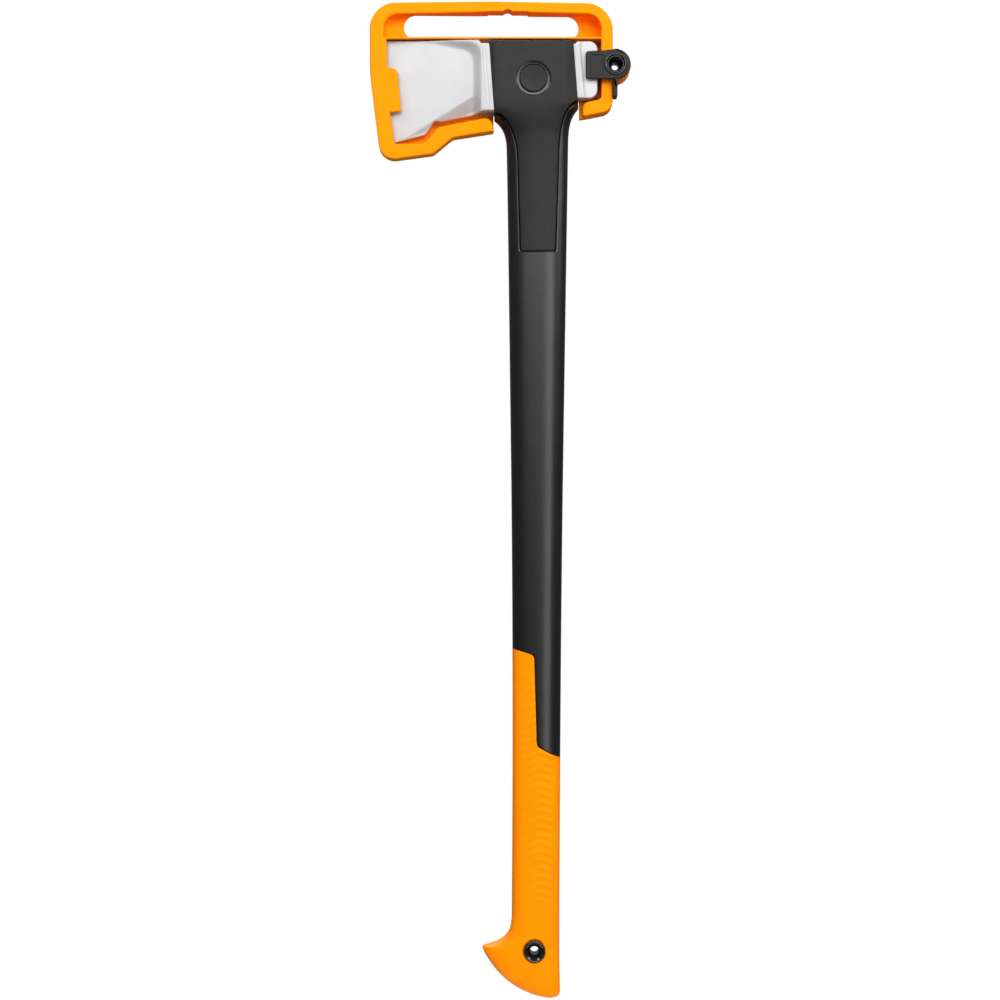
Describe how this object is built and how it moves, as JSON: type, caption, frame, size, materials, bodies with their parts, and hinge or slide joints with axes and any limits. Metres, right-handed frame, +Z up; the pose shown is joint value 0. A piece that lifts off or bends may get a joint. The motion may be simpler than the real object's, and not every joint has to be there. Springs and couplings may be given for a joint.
{
  "type": "axe",
  "caption": "Long-handled splitting and felling axe with a wedge head, hollow shaft, hooked soft grip and a removable blade guard with a turning latch.",
  "frame": {"origin": "crown of the hang notch under the blade guard's top bar, in the middle of the axe's thickness", "axes": "+Z up along the handle towards the guard's top bar, +X from the cutting edge towards the poll, +Y from the latch side to the back; -Y faces the viewer who sees the latch"},
  "size_m": [0.2482, 0.044, 0.9489],
  "materials": {
    "forged_steel": "satin",
    "glass_filled_nylon": "satin",
    "shaft_composite": "satin",
    "soft_grip": "matte",
    "guard_plastic": "satin",
    "gloss_black": "gloss",
    "pin_steel": "satin"
  },
  "bodies": {
    "root": {"axe_head": "forged_steel", "head_carrier": "glass_filled_nylon", "collar_disc_front": "glass_filled_nylon", "collar_disc_back": "glass_filled_nylon", "lock_pin": "pin_steel", "shaft": "shaft_composite", "shaft_end_plug": "glass_filled_nylon", "grip": "soft_grip", "pommel_bush_front": "gloss_black", "pommel_bush_back": "gloss_black", "sheath_frame": "guard_plastic"},
    "latch": {"latch": "glass_filled_nylon", "latch_eyelet_front": "gloss_black", "latch_eyelet_back": "gloss_black"}
  },
  "joints": [
    {"name": "latch_turn", "type": "hinge", "parent": "root", "child": "latch", "pos_m": [0.1023, 0, -0.0537], "axis": [0, -1, 0], "range_deg": [0, 90]}
  ]
}
